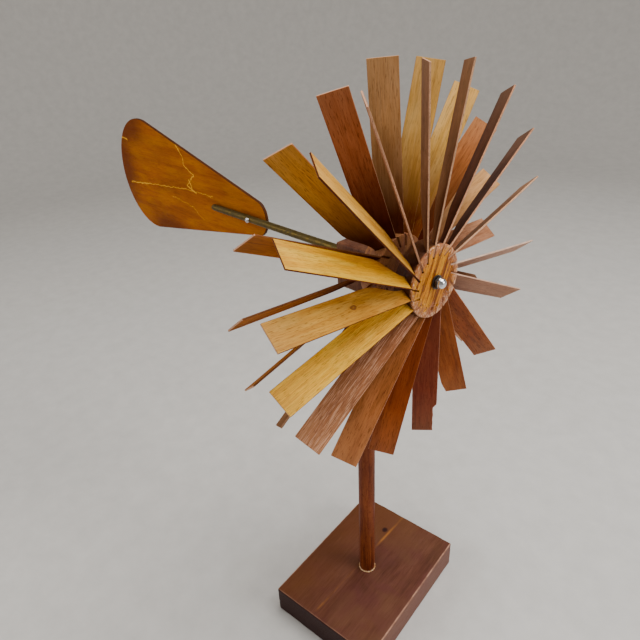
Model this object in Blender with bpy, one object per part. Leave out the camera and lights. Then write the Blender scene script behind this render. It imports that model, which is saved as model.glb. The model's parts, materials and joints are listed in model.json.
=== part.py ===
"""Kinetic wind sculpture: two counter-turning slat rotors and a tail vane on a wooden post.

Row frame: metres, +Z up, origin at the middle of the base block's underside.
The head's own frame has +X along the axle towards the acorn nut. It stands on the
"head_yaw" empty, turned a little about the post, and each rotor stands on an empty of
its own on the axle, so that every moving piece turns about its joint's axis.
"""
import math

import bmesh
import bpy
from mathutils import Matrix, Vector

MM = 0.001
GAP = 0.3 * MM                      # room left between two pieces that touch
OUTSIDE = 5 * MM                    # how far a bore's cutter starts outside the wood

# Stand: a block of two-by-six board and a three-quarter inch dowel.
BASE_X = 140 * MM
BASE_Y = 190 * MM
BASE_Z = 38 * MM
BASE_EDGE = 1.5 * MM
POST_R = 9.5 * MM
POST_EASE = 1 * MM
SOCKET_DEPTH = 18 * MM
BEAD_WIDTH = 1.6 * MM
BEAD_HEIGHT = 1.4 * MM

# Head: everything here is set from the height of the axle.
AXLE_Z = 466 * MM
HEAD_YAW = math.radians(-7)
BLOCK_FRONT = 17 * MM
BLOCK_BACK = -24 * MM
BLOCK_WIDTH = 28 * MM
BLOCK_ABOVE = 14 * MM
BLOCK_BELOW = 30 * MM
BLOCK_EDGE = 2 * MM

# Swivel between post and head.
PIN_R = 3 * MM
PIN_IN_POST = 30 * MM
SWIVEL_ROOF = 6 * MM                # wood left between the swivel bore and the axle's line
SLEEVE_R = 4.75 * MM
WASHER_R = 8 * MM
WASHER_T = 1.2 * MM

# Axle and tail boom, end to end in the head block.
AXLE_R = 3.175 * MM
BOOM_R = 4 * MM
BOOM_END = -243 * MM
ROD_GAP_X = -0.5 * MM               # where the two rods meet inside the block
NUT_FLAT_R = 5 * MM                 # half the width across the hexagon's flats
NUT_HEX_T = 3.2 * MM
NUT_DOME_T = 4.4 * MM
NUT_DOME_R = 4.7 * MM
NUT_EASE = 0.4 * MM                 # taken off the hexagon's ends
NUT_WASHER_R = 6.2 * MM
NUT_WASHER_T = 1.2 * MM

# Rotors: eighteen thin slats in kerfs sawn across the rim of a turned disc.
BLADE_COUNT = 18
TIP_R = 171 * MM
BLADE_WIDTH = 23.5 * MM
BLADE_T = 1.5 * MM
BLADE_PITCH = math.radians(40)
HUB_R = 32 * MM
HUB_T = 19 * MM
HUB_EDGE = 1 * MM
KERF_DEPTH = 11 * MM
KERF_OVERCUT = 8 * MM               # how far the kerf cutters stand out of the disc
TONGUE_SHORT = 2 * MM               # a tongue stops this far above its kerf's floor
FACE_TO_BLADE = 1 * MM              # front edges lie this far behind the disc's face
TONGUE_WIDTH = BLADE_WIDTH / 2
TONGUE_END = 36 * MM                # where the tongue starts to widen
FULL_WIDTH_FROM = 64 * MM           # where the slat has its full width
CORNER_CUT = 2 * MM                 # how far each end of that taper is eased
FRONT_FACE_X = 78.5 * MM
REAR_FACE_X = 41.5 * MM
FRONT_FIRST_BLADE = math.radians(336)
REAR_FIRST_BLADE = math.radians(335)

# Tail vane: two ellipses and the straight edges that touch both.
VANE_T = 4 * MM
NOSE_X = -164 * MM
NOSE_Z = 1 * MM
NOSE_LONG = 15 * MM
NOSE_HIGH = 20 * MM
TAIL_X = -407 * MM
TAIL_Z = 12 * MM
TAIL_LONG = 70 * MM
TAIL_HIGH = 74 * MM
TOP_TOUCH = 77                      # degrees round each ellipse, where the lines touch
LOW_TOUCH = -80
VANE_ARRIS = 0.8 * MM
VANE_SCREW_X = -172 * MM
SCREW_R = 1.5 * MM
SCREW_HEAD_R = 3 * MM
SCREW_HEAD_T = 2 * MM
SCREW_TAIL = 1 * MM                 # thread standing out behind its nut
VANE_NUT_FLAT_R = 2.75 * MM
VANE_NUT_T = 2.4 * MM

ROUND_STEPS = 64
SMALL_STEPS = 32
HUB_STEPS = 4 * BLADE_COUNT
NUT_STEPS = 24

BLOCK_BOTTOM_Z = AXLE_Z - BLOCK_BELOW
POST_TOP_Z = BLOCK_BOTTOM_Z - 2 * WASHER_T - 3 * GAP
POST_FOOT_Z = BASE_Z - SOCKET_DEPTH
SWIVEL_TOP_Z = AXLE_Z - SWIVEL_ROOF
VANE_NEAR_Y = BOOM_R + GAP
VANE_FAR_Y = VANE_NEAR_Y + VANE_T

MATERIALS = {
    # name: (colour, roughness, metallic)
    "stained_pine": ((0.12, 0.045, 0.025), 0.45, 0.0),
    "post_wood": ((0.20, 0.055, 0.018), 0.40, 0.0),
    "glue": ((0.62, 0.47, 0.28), 0.55, 0.0),
    "block_wood": ((0.16, 0.07, 0.03), 0.5, 0.0),
    "hub_wood": ((0.42, 0.17, 0.04), 0.42, 0.0),
    "slat_red": ((0.20, 0.06, 0.025), 0.40, 0.0),
    "slat_gold": ((0.62, 0.36, 0.09), 0.38, 0.0),
    "vane_wood": ((0.42, 0.14, 0.012), 0.38, 0.0),
    "brass": ((0.28, 0.21, 0.07), 0.45, 1.0),
    "steel": ((0.55, 0.55, 0.56), 0.32, 1.0),
    "chrome": ((0.78, 0.79, 0.80), 0.12, 1.0),
}


def clear_scene():
    for old in list(bpy.data.objects):
        bpy.data.objects.remove(old, do_unlink=True)


def make_material(name):
    colour, roughness, metallic = MATERIALS[name]
    material = bpy.data.materials.new(name)
    material.use_nodes = True
    shader = material.node_tree.nodes["Principled BSDF"]
    shader.inputs["Base Color"].default_value = (*colour, 1.0)
    shader.inputs["Roughness"].default_value = roughness
    shader.inputs["Metallic"].default_value = metallic
    return material


def mesh_from(bm, name, smooth):
    bmesh.ops.recalc_face_normals(bm, faces=bm.faces)
    mesh = bpy.data.meshes.new(name)
    bm.to_mesh(mesh)
    bm.free()
    if smooth:
        mesh.shade_smooth()
    return mesh


def add_node(name, mesh, material, parent=None, place=Matrix.Identity(4)):
    """Puts one named piece in the scene, placed in its parent's frame."""
    node = bpy.data.objects.new(name, mesh)
    mesh.materials.append(material)
    bpy.context.scene.collection.objects.link(node)
    node.parent = parent
    node.matrix_local = place
    return node


def add_empty(name, location, yaw=0.0, parent=None):
    empty = bpy.data.objects.new(name, None)
    bpy.context.scene.collection.objects.link(empty)
    empty.parent = parent
    empty.location = location
    empty.rotation_euler = (0.0, 0.0, yaw)
    return empty


def lathe(name, profile, steps, closed=True, smooth=True):
    """Turns a profile of (radius, height) points about +Z.

    A closed profile makes a ring; an open one starts and ends on the axis.
    """
    bm = bmesh.new()
    verts = [bm.verts.new((radius, 0.0, height)) for radius, height in profile]
    ends = verts[1:] + verts[:1] if closed else verts[1:]
    edges = [bm.edges.new(pair) for pair in zip(verts, ends)]
    bmesh.ops.spin(bm, geom=verts + edges, cent=(0, 0, 0), axis=(0, 0, 1),
                   angle=2 * math.pi, steps=steps, use_merge=True)
    bmesh.ops.remove_doubles(bm, verts=bm.verts, dist=0.001 * MM)
    return mesh_from(bm, name, smooth)


def ring(name, inner, outer, length, steps=SMALL_STEPS):
    """A plain tube or washer along +Z, from height 0 to length."""
    return lathe(name, [(inner, 0), (outer, 0), (outer, length), (inner, length)], steps)


def rod(name, radius, length, steps=SMALL_STEPS, chamfer=0.4 * MM):
    """A solid rod along +Z, from height 0 to length, with both ends chamfered."""
    profile = [(0, 0), (radius - chamfer, 0), (radius, chamfer),
               (radius, length - chamfer), (radius - chamfer, length), (0, length)]
    return lathe(name, profile, steps, closed=False)


def prism(name, outline, low, high):
    """A flat plate: an outline of (x, z) points, extruded along Y from low to high."""
    bm = bmesh.new()
    verts = [bm.verts.new((x, low, z)) for x, z in outline]
    face = bm.faces.new(verts)
    grown = bmesh.ops.extrude_face_region(bm, geom=[face])
    moved = [item for item in grown["geom"] if isinstance(item, bmesh.types.BMVert)]
    bmesh.ops.translate(bm, verts=moved, vec=(0, high - low, 0))
    return mesh_from(bm, name, smooth=False)


def hexagon(flat_radius):
    corner = flat_radius / math.cos(math.pi / 6)
    turns = [math.radians(60 * k + 30) for k in range(6)]
    return [(corner * math.cos(turn), corner * math.sin(turn)) for turn in turns]


def add_box(bm, low, high, place=Matrix.Identity(4)):
    """Adds a box between two corners to a bmesh, moved by place."""
    size = [b - a for a, b in zip(low, high)]
    middle = [(a + b) / 2 for a, b in zip(low, high)]
    fit = place @ Matrix.Translation(middle) @ Matrix.Diagonal((*size, 1.0))
    bmesh.ops.create_cube(bm, size=1.0, matrix=fit)


def box(name, low, high, edge):
    """A box between two corners, with its edges rounded over."""
    bm = bmesh.new()
    add_box(bm, low, high)
    bmesh.ops.bevel(bm, geom=bm.edges, offset=edge, segments=2, profile=0.5, affect='EDGES')
    return mesh_from(bm, name, smooth=False)


def cut(node, cutter_mesh, place=Matrix.Identity(4)):
    """Takes the cutter's shape out of a node. Place is in the node's own frame."""
    cutter = bpy.data.objects.new(f"{node.name}_cutter", cutter_mesh)
    bpy.context.scene.collection.objects.link(cutter)
    cutter.parent = node
    cutter.matrix_local = place
    cutter.display_type = 'WIRE'
    cutter.hide_render = True
    boolean = node.modifiers.new(cutter.name, 'BOOLEAN')
    boolean.operation = 'DIFFERENCE'
    boolean.solver = 'EXACT'
    boolean.object = cutter


ALONG_X = Matrix.Rotation(math.radians(90), 4, 'Y')     # +Z of a turned piece becomes +X
ALONG_Y = Matrix.Rotation(math.radians(-90), 4, 'X')    # +Z of a turned piece becomes +Y


def at_x(x):
    return Matrix.Translation((x, 0, 0)) @ ALONG_X


# ---------------------------------------------------------------- stand

def build_stand(look):
    half_x, half_y = BASE_X / 2, BASE_Y / 2
    base = add_node("base_block", box("base_block", (-half_x, -half_y, 0),
                                      (half_x, half_y, BASE_Z), BASE_EDGE),
                    look["stained_pine"])
    socket_reach = SOCKET_DEPTH + GAP + OUTSIDE
    socket = rod("socket", POST_R + GAP, socket_reach, ROUND_STEPS)
    cut(base, socket, Matrix.Translation((0, 0, POST_FOOT_Z - GAP)))

    add_node("post", post_mesh(), look["post_wood"])
    bead = [(POST_R + GAP, 0), (POST_R + GAP + BEAD_WIDTH, 0),
            (POST_R + GAP + BEAD_WIDTH * 0.75, BEAD_HEIGHT * 0.6), (POST_R + GAP, BEAD_HEIGHT)]
    add_node("foot_glue_bead", lathe("foot_glue_bead", bead, ROUND_STEPS), look["glue"],
             place=Matrix.Translation((0, 0, BASE_Z + GAP)))

    pin_foot = POST_TOP_Z - PIN_IN_POST + GAP
    add_node("pivot_pin", rod("pivot_pin", PIN_R, SWIVEL_TOP_Z - GAP - pin_foot), look["steel"],
             place=Matrix.Translation((0, 0, pin_foot)))
    add_node("lower_thrust_washer", ring("lower_thrust_washer", PIN_R + GAP, WASHER_R, WASHER_T),
             look["brass"], place=Matrix.Translation((0, 0, POST_TOP_Z + GAP)))


def post_mesh():
    """The dowel, with the pivot pin's blind bore in its top and its arrises eased."""
    bore = PIN_R + GAP
    ease = POST_EASE
    profile = [(0, POST_FOOT_Z), (POST_R - ease, POST_FOOT_Z), (POST_R, POST_FOOT_Z + ease),
               (POST_R, POST_TOP_Z - ease), (POST_R - ease, POST_TOP_Z), (bore, POST_TOP_Z),
               (bore, POST_TOP_Z - PIN_IN_POST), (0, POST_TOP_Z - PIN_IN_POST)]
    return lathe("post", profile, ROUND_STEPS, closed=False)


# ---------------------------------------------------------------- head

def build_head(look, head):
    block = add_node("head_block",
                     box("head_block", (BLOCK_BACK, -BLOCK_WIDTH / 2, -BLOCK_BELOW),
                         (BLOCK_FRONT, BLOCK_WIDTH / 2, BLOCK_ABOVE), BLOCK_EDGE),
                     look["block_wood"], head)
    boom_bore = rod("boom_bore", BOOM_R + GAP, ROD_GAP_X - BLOCK_BACK + OUTSIDE)
    cut(block, boom_bore, at_x(BLOCK_BACK - OUTSIDE))
    axle_bore = rod("axle_bore", AXLE_R + GAP, BLOCK_FRONT - ROD_GAP_X + 2 * OUTSIDE)
    cut(block, axle_bore, at_x(ROD_GAP_X - OUTSIDE))
    swivel_bore = rod("swivel_bore", SLEEVE_R + GAP, BLOCK_BELOW - SWIVEL_ROOF + OUTSIDE)
    cut(block, swivel_bore, Matrix.Translation((0, 0, -BLOCK_BELOW - OUTSIDE)))

    sleeve_length = BLOCK_BELOW - SWIVEL_ROOF - GAP
    add_node("pivot_sleeve", ring("pivot_sleeve", PIN_R + GAP, SLEEVE_R, sleeve_length),
             look["brass"], head, Matrix.Translation((0, 0, -BLOCK_BELOW)))
    add_node("upper_thrust_washer", ring("upper_thrust_washer", PIN_R + GAP, WASHER_R, WASHER_T),
             look["brass"], head, Matrix.Translation((0, 0, -BLOCK_BELOW - GAP - WASHER_T)))

    build_axle(look, head)
    build_tail(look, head)


def build_axle(look, head):
    """The axle and what sits still on it, from the head block to the nut."""
    bore = AXLE_R + GAP
    rear_back = REAR_FACE_X - HUB_T
    front_back = FRONT_FACE_X - HUB_T
    sleeve_out = GAP                               # a rotor's sleeve stands out of its hub
    washer_x = FRONT_FACE_X + sleeve_out + GAP
    nut_x = washer_x + NUT_WASHER_T + GAP
    axle_start = ROD_GAP_X + GAP
    axle_end = nut_x + NUT_HEX_T + NUT_DOME_T * 0.4
    add_node("axle", rod("axle", AXLE_R, axle_end - axle_start), look["steel"], head,
             at_x(axle_start))

    stays = {
        "rear_spacer": (BLOCK_FRONT + GAP, rear_back - sleeve_out - GAP, SLEEVE_R + 1.5 * MM),
        "middle_spacer": (REAR_FACE_X + sleeve_out + GAP, front_back - sleeve_out - GAP, SLEEVE_R),
        "nut_washer": (washer_x, washer_x + NUT_WASHER_T, NUT_WASHER_R),
    }
    for name, (start, end, outer) in stays.items():
        metal = look["steel"] if name == "nut_washer" else look["brass"]
        add_node(name, ring(name, bore, outer, end - start), metal, head, at_x(start))
    add_node("acorn_nut", acorn_nut_mesh(bore, axle_end - nut_x + GAP), look["chrome"], head,
             at_x(nut_x))


def acorn_nut_mesh(bore, bore_depth):
    """A six-sided skirt under a dome, bored blind from below, along +Z."""
    corner = NUT_FLAT_R / math.cos(math.pi / 6)
    rings = [(bore, 0, 0), (NUT_FLAT_R - NUT_EASE, 0, 0), (corner, NUT_EASE, 1),
             (corner, NUT_HEX_T - NUT_EASE, 1), (NUT_DOME_R, NUT_HEX_T, 0)]
    dome_steps = 6
    for step in range(1, dome_steps):
        turn = math.pi / 2 * step / dome_steps
        rings.append((NUT_DOME_R * math.cos(turn), NUT_HEX_T + NUT_DOME_T * math.sin(turn), 0))
    bm = bmesh.new()
    loops = [nut_loop(bm, radius, height, is_hex) for radius, height, is_hex in rings]
    floor = nut_loop(bm, bore, bore_depth, 0)
    for low, high in zip([floor] + loops, loops):
        bridge(bm, low, high)
    for loop, height in ((floor, bore_depth), (loops[-1], NUT_HEX_T + NUT_DOME_T)):
        tip = bm.verts.new((0, 0, height))
        for a, b in zip(loop, loop[1:] + loop[:1]):
            bm.faces.new((a, b, tip))
    return mesh_from(bm, "acorn_nut", smooth=False)


def nut_loop(bm, radius, height, is_hex):
    """One loop round the nut: a circle, or the hexagon whose corners have that radius."""
    verts = []
    for k in range(NUT_STEPS):
        turn = 2 * math.pi * k / NUT_STEPS
        reach = radius
        if is_hex:
            off_flat = (turn % (math.pi / 3)) - math.pi / 6
            reach = radius * math.cos(math.pi / 6) / math.cos(off_flat)
        verts.append(bm.verts.new((reach * math.cos(turn), reach * math.sin(turn), height)))
    return verts


def bridge(bm, low, high):
    for k, vert in enumerate(low):
        after = (k + 1) % len(low)
        bm.faces.new((vert, low[after], high[after], high[k]))


def build_tail(look, head):
    boom_length = ROD_GAP_X - GAP - BOOM_END
    boom = add_node("tail_boom", rod("tail_boom", BOOM_R, boom_length), look["brass"], head,
                    at_x(BOOM_END))
    vane = add_node("tail_vane", prism("tail_vane", vane_outline(), VANE_NEAR_Y, VANE_FAR_Y),
                    look["vane_wood"], head)
    soften(vane, VANE_ARRIS)
    reach = 2 * (VANE_FAR_Y + OUTSIDE)
    through = Matrix.Translation((VANE_SCREW_X, -reach / 2, 0)) @ ALONG_Y
    hole = rod("screw_hole", SCREW_R + GAP, reach, SMALL_STEPS // 2)
    cut(vane, hole, through)
    cut(boom, hole.copy(), at_x(BOOM_END).inverted() @ through)
    build_vane_screw(look, head)


def build_vane_screw(look, head):
    """A machine screw through boom and vane, head on the boom, nut behind the vane."""
    head_y = -BOOM_R - GAP - SCREW_HEAD_T
    nut_y = VANE_FAR_Y + GAP
    length = nut_y + VANE_NUT_T + SCREW_TAIL - head_y
    crown = SCREW_HEAD_R * 0.7
    profile = [(0, 0), (crown, 0), (SCREW_HEAD_R, SCREW_HEAD_T * 0.5),
               (SCREW_HEAD_R, SCREW_HEAD_T), (SCREW_R, SCREW_HEAD_T), (SCREW_R, length),
               (0, length)]
    screw = lathe("vane_screw", profile, SMALL_STEPS // 2, closed=False)
    add_node("vane_screw", screw, look["steel"], head,
             Matrix.Translation((VANE_SCREW_X, head_y, 0)) @ ALONG_Y)
    nut = add_node("vane_nut", prism("vane_nut", hexagon(VANE_NUT_FLAT_R), 0, VANE_NUT_T),
                   look["steel"], head, Matrix.Translation((VANE_SCREW_X, nut_y, 0)))
    hole = rod("nut_hole", SCREW_R + GAP, VANE_NUT_T * 3, SMALL_STEPS // 2)
    cut(nut, hole, Matrix.Translation((0, -VANE_NUT_T, 0)) @ ALONG_Y)


def vane_outline():
    """The nose's round, then the tail's round, joined by the lines that touch both."""
    nose = ellipse_arc(NOSE_X, NOSE_Z, NOSE_LONG, NOSE_HIGH, LOW_TOUCH, TOP_TOUCH, 12)
    tail = ellipse_arc(TAIL_X, TAIL_Z, TAIL_LONG, TAIL_HIGH, TOP_TOUCH, 360 + LOW_TOUCH, 30)
    return nose + tail


def ellipse_arc(x, z, long, high, start, end, steps):
    """Points on an ellipse, from one turn in degrees to another, both ends included."""
    turns = [math.radians(start + (end - start) * k / steps) for k in range(steps + 1)]
    return [(x + long * math.cos(turn), z + high * math.sin(turn)) for turn in turns]


def soften(node, width):
    """Rounds a plate's sharp arrises."""
    bevel = node.modifiers.new("arris", 'BEVEL')
    bevel.width = width
    bevel.segments = 1
    bevel.limit_method = 'ANGLE'


# ---------------------------------------------------------------- rotors

def build_rotor(look, head, side, face_x, first_blade, hand):
    """One rotor. Hand is 1 when a slat's rear edge lies clockwise of its front edge."""
    spin = add_empty(f"{side}_spin", (face_x, 0, 0), parent=head)
    hub = add_node(f"{side}_hub", hub_mesh(f"{side}_hub"), look["hub_wood"], spin,
                   at_x(-HUB_T))
    kerfs = kerf_mesh(f"{side}_kerfs", first_blade, hand)
    cut(hub, kerfs, at_x(-HUB_T).inverted())
    sleeve = ring(f"{side}_sleeve", AXLE_R + GAP, SLEEVE_R, HUB_T + 2 * GAP)
    add_node(f"{side}_sleeve", sleeve, look["brass"], spin, at_x(-HUB_T - GAP))
    for number in range(BLADE_COUNT):
        name = f"{side}_blade_{number + 1:02d}"
        wood = look["slat_red"] if number < BLADE_COUNT * 2 // 3 else look["slat_gold"]
        add_node(name, prism(name, blade_outline(), -BLADE_T / 2, BLADE_T / 2), wood, spin,
                 blade_place(first_blade, number, hand))


def hub_mesh(name):
    bore = SLEEVE_R + GAP
    profile = [(bore, 0), (HUB_R - HUB_EDGE, 0), (HUB_R, HUB_EDGE), (HUB_R, HUB_T - HUB_EDGE),
               (HUB_R - HUB_EDGE, HUB_T), (bore, HUB_T)]
    return lathe(name, profile, HUB_STEPS)


def blade_outline():
    """(x, z) in the slat's own plane: +Z out along its middle line, +X its front edge."""
    front = BLADE_WIDTH / 2
    inner = front - TONGUE_WIDTH
    root = HUB_R - KERF_DEPTH + TONGUE_SHORT
    ease = CORNER_CUT / 4
    return [(front, root), (front, TIP_R), (-front, TIP_R), (-front, FULL_WIDTH_FROM + CORNER_CUT),
            (-front + ease, FULL_WIDTH_FROM - CORNER_CUT), (inner - ease, TONGUE_END + CORNER_CUT),
            (inner, TONGUE_END), (inner, root)]


def blade_place(first_blade, number, hand):
    """From the slat's own plane to the rotor's frame, whose origin is the hub's face."""
    turn = first_blade + 2 * math.pi * number / BLADE_COUNT
    middle_x = -FACE_TO_BLADE - BLADE_WIDTH / 2 * math.cos(BLADE_PITCH)
    return (Matrix.Translation((middle_x, 0, 0)) @ Matrix.Rotation(-turn, 4, 'X')
            @ Matrix.Rotation(-hand * BLADE_PITCH, 4, 'Z'))


def kerf_mesh(name, first_blade, hand):
    """All the saw kerfs of one hub, in the rotor's frame."""
    front = BLADE_WIDTH / 2
    side = BLADE_T / 2 + GAP
    low = Vector((front - TONGUE_WIDTH - GAP, -side, HUB_R - KERF_DEPTH))
    high = Vector((front + KERF_OVERCUT, side, HUB_R + KERF_OVERCUT))
    bm = bmesh.new()
    for number in range(BLADE_COUNT):
        add_box(bm, low, high, blade_place(first_blade, number, hand))
    return mesh_from(bm, name, smooth=False)


def main():
    clear_scene()
    look = {name: make_material(name) for name in MATERIALS}
    build_stand(look)
    head = add_empty("head_yaw", (0, 0, AXLE_Z), HEAD_YAW)
    build_head(look, head)
    build_rotor(look, head, "rear", REAR_FACE_X, REAR_FIRST_BLADE, -1)
    build_rotor(look, head, "front", FRONT_FACE_X, FRONT_FIRST_BLADE, 1)


main()
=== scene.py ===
"""Looks for the kinetic wind sculpture: detailed slats, hubs, vane, stand and metalwork.

Every detailed piece is built in the same frame as its CAD node and takes its place. The
head's own frame has +X along the axle towards the acorn nut.
"""

import json
import math
import random

import bmesh
import bpy
from mathutils import Matrix, Vector, noise

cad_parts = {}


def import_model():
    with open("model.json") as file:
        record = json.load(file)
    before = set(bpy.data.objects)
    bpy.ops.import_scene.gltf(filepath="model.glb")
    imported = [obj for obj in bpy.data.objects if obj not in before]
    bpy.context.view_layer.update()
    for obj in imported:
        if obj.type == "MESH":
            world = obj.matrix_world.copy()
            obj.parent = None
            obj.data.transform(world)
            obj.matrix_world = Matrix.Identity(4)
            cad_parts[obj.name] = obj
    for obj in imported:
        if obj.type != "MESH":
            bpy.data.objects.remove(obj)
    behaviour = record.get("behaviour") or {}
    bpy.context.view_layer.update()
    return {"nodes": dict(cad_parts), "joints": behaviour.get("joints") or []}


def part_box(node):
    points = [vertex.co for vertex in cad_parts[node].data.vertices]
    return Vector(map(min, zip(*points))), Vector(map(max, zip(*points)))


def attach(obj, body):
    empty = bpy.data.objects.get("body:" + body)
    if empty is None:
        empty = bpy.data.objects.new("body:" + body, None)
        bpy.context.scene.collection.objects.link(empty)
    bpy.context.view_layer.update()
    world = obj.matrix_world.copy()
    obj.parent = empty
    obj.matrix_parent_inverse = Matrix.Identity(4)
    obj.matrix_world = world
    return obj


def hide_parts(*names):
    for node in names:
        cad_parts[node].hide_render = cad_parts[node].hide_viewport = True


MM = 0.001
GAP = 0.3 * MM

# Rotors. The discs' faces and the axle come from the frame.
BLADE_COUNT = 18
TIP_R = 171 * MM
BLADE_WIDTH = 23.5 * MM
BLADE_T = 1.5 * MM
BLADE_PITCH = math.radians(40)
HUB_R = 32 * MM
HUB_T = 19 * MM
KERF_FLOOR_R = 19.5 * MM
ROOT_R = 20.5 * MM
TONGUE_END = 36 * MM
FLARE = (34 * MM, 69 * MM)                          # where the widening starts and ends
FACE_TO_BLADE = 1 * MM
ARRIS = 0.2 * MM
SAW_WAVE = 0.1 * MM
TIP_BEND = 0.9 * MM
TIP_TWIST = 0.02
SLEEVE_BORE_R = 5.05 * MM
HUB_EASE = 0.8 * MM
ROTORS = {
    # side: (first slat's angle, 1 when rear edges lie clockwise of front edges, how far the
    # kerfs miss the axle)
    "front": (math.radians(336), 1, -2.5 * MM),
    "rear": (math.radians(335), -1, 0.0),
}

# Stand
POST_R = 9.5 * MM
BASE_ROUND = 2 * MM
SOCKET_FLOOR_Z = 19.7 * MM
BEAD_WIDTH = 0.9 * MM
BEAD_HEIGHT = 1 * MM

# Tail
BOOM_R = 4 * MM
BOOM_SPAN = (-243 * MM, -0.8 * MM)
VANE_SCREW_X = -172 * MM
SCREW_R = 1.5 * MM
SCREW_HEAD_R = 3 * MM
SCREW_HEAD_T = 2 * MM
SCREW_TAIL = 1 * MM
VANE_NUT_FLAT_R = 2.75 * MM
VANE_NUT_T = 2.4 * MM
VANE_CRACKS = [
    # start and end (x, z), width, strength, in millimetres in the head's frame
    ((-321, 66), (-305, 48), 1.0, 0.9), ((-305, 48), (-306, 40), 1.0, 1.0),
    ((-306, 40), (-287, 29), 1.0, 1.0), ((-287, 29), (-304, 15), 1.0, 1.0),
    ((-304, 15), (-288, 8), 1.4, 1.0), ((-299, 23), (-291, 8), 1.2, 0.9),
    ((-459, -6), (-400, 1), 1.2, 0.9), ((-400, 1), (-306, 9), 0.9, 0.8),
    ((-306, 9), (-250, 10), 0.8, 0.6), ((-348, -6), (-299, -12), 0.7, 0.5),
    ((-299, -12), (-277, -25), 0.7, 0.5), ((-461, 57), (-446, 55), 1.4, 0.9),
]
VANE_T = 4 * MM
NOSE = (-164 * MM, 1 * MM, 15 * MM, 20 * MM)        # middle x, z and half sizes of the ellipse
TAIL = (-407 * MM, 12 * MM, 69.8 * MM, 73.9 * MM)
TOP_TOUCH = 77                                      # degrees round both ellipses at which
LOW_TOUCH = -80                                     # the straight sides meet them

# Head block and nuts
BLOCK_LOW = (-24 * MM, -14 * MM, -30 * MM)
BLOCK_HIGH = (17 * MM, 14 * MM, 14 * MM)
BLOCK_ROUND = 2.2 * MM
BLOCK_BORES = (4.3 * MM, 3.5 * MM, SLEEVE_BORE_R)   # boom, axle, swivel
NUT_BACK_X = 80.6 * MM
NUT_FLAT_R = 5 * MM
NUT_HEX_T = 3 * MM
NUT_DOME_T = 4.4 * MM
NODE_ARRIS = 0.15 * MM                              # on the frame's own parts

# Varnishes and stains
SLAT_TONES = {
    # name: (dark streak, body, light streak, cut edge, partly the sawn wood's tone and partly
    # painted light and shade)
    "gold": ("#c47a00", "#e2a20c", "#f0c03c", "#6a2c14"),
    "straw": ("#a86414", "#ca8e2c", "#dcaa4c", "#5e2810"),
    "sand": ("#b07c34", "#dca650", "#e8ba70", "#b07a4c"),
    "wheat": ("#a06434", "#c8945c", "#d4a470", "#b07c58"),
    "honey": ("#905004", "#cc8824", "#dc9c40", "#a86a3c"),
    "amber": ("#682600", "#8a3a02", "#a04c10", "#a8683c"),
    "rust": ("#74340e", "#9a5a2a", "#b06c3c", "#cf9a78"),
    "sienna": ("#6e3010", "#a4562a", "#b86c40", "#b07c58"),
    "russet": ("#722e08", "#ac561c", "#c06c2c", "#b87850"),
    "oxblood": ("#561a0c", "#83361e", "#944628", "#c89070"),
    "blush": ("#94644c", "#c08c70", "#cc9c80", "#dcb8a0"),
    "rose": ("#7e4028", "#a8704e", "#c08c6c", "#d3a78c"),
    "brown": ("#5a341a", "#8a5a36", "#9a6a44", "#cf9e7a"),
    "cocoa": ("#6a381c", "#945a34", "#a46c46", "#cf9e7a"),
    "umber": ("#301408", "#4c2616", "#60341e", "#c8906c"),
    "toast": ("#6a2c04", "#a85c0a", "#bc741c", "#7a4822"),
}
SLATS = {
    # side: (tone, how many degrees it leans clockwise, how many millimetres it is short)
    "front": [("rust", -1.5, 2), ("brown", 1, 2), ("brown", -1.5, 1), ("umber", 1.5, 0.5),
              ("umber", 1, 0.5), ("brown", -0.5, 1.5), ("blush", 3, 0.5), ("rose", 0, 1),
              ("russet", 3.5, 1), ("russet", 3, 11), ("oxblood", 2, 1), ("amber", 5.5, 6),
              ("rust", 3.5, 1.5), ("cocoa", 3, 1), ("gold", 2, 1), ("straw", 0.5, 1),
              ("gold", -0.5, 0.5), ("straw", -1, 0.5)],
    "rear": [("sienna", 1.5, 4), ("wheat", 0, 0.5), ("sand", 0, 1), ("sand", 0.5, 1.5),
             ("rust", -2, 2), ("wheat", -2, 10), ("rose", -2.5, 12), ("umber", 0, 1),
             ("rose", 0, 2), ("rust", 0, 1), ("amber", 0, 2), ("umber", 0, 1),
             ("rose", 0, 1), ("brown", 1, 1), ("toast", 0, 0.5), ("toast", -1, 1),
             ("toast", -1, 2), ("honey", 0.5, 0.5)],
}
# slats whose varnish has worn off in fine streaks of this colour
STREAKY = {"front_blade_14": "#d4a484", "front_blade_15": "#ecb838"}
# side and number: (edge it is on, how far from the tip it starts and ends, how deep)
CHIPS = {
    ("front", 11): ("front", 0 * MM, 33 * MM, 3.2 * MM),
    ("front", 10): ("rear", 0 * MM, 14 * MM, 2.4 * MM),
}
# how much gloss is left on each rotor's varnish, and the colour of most slats' tips
SHINE = {"front": 0.1, "rear": 0.0}
END_GRAIN = "#c89878"
# slats whose tips are as dark as their long edges, and the one slat with a knot
DARK_ENDED = ("front_blade_17", "front_blade_18")
KNOTTED = "front_blade_16"
# the base's own knot, and the ends of the pale streak that passes it
KNOT_AT = (-12.6 * MM, 60.5 * MM, 38 * MM)
KNOT_STREAK = ((-4 * MM, 95 * MM, 38 * MM), (-13 * MM, -88 * MM, 38 * MM))

# Camera
CAMERA_AT = (0.2761, -0.3926, 0.6689)
CAMERA_HEADING = 130.43                             # degrees from +X, seen from above
CAMERA_DOWN = 29.08
CAMERA_ROLL = -2.97
CAMERA_LENS = 31.57


# ---------------------------------------------------------------- small tools

def srgb(code):
    """A web colour as linear RGBA."""
    channels = [int(code[k:k + 2], 16) / 255 for k in (1, 3, 5)]
    linear = [c / 12.92 if c <= 0.04045 else ((c + 0.055) / 1.055) ** 2.4 for c in channels]
    return (*linear, 1.0)


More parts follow.
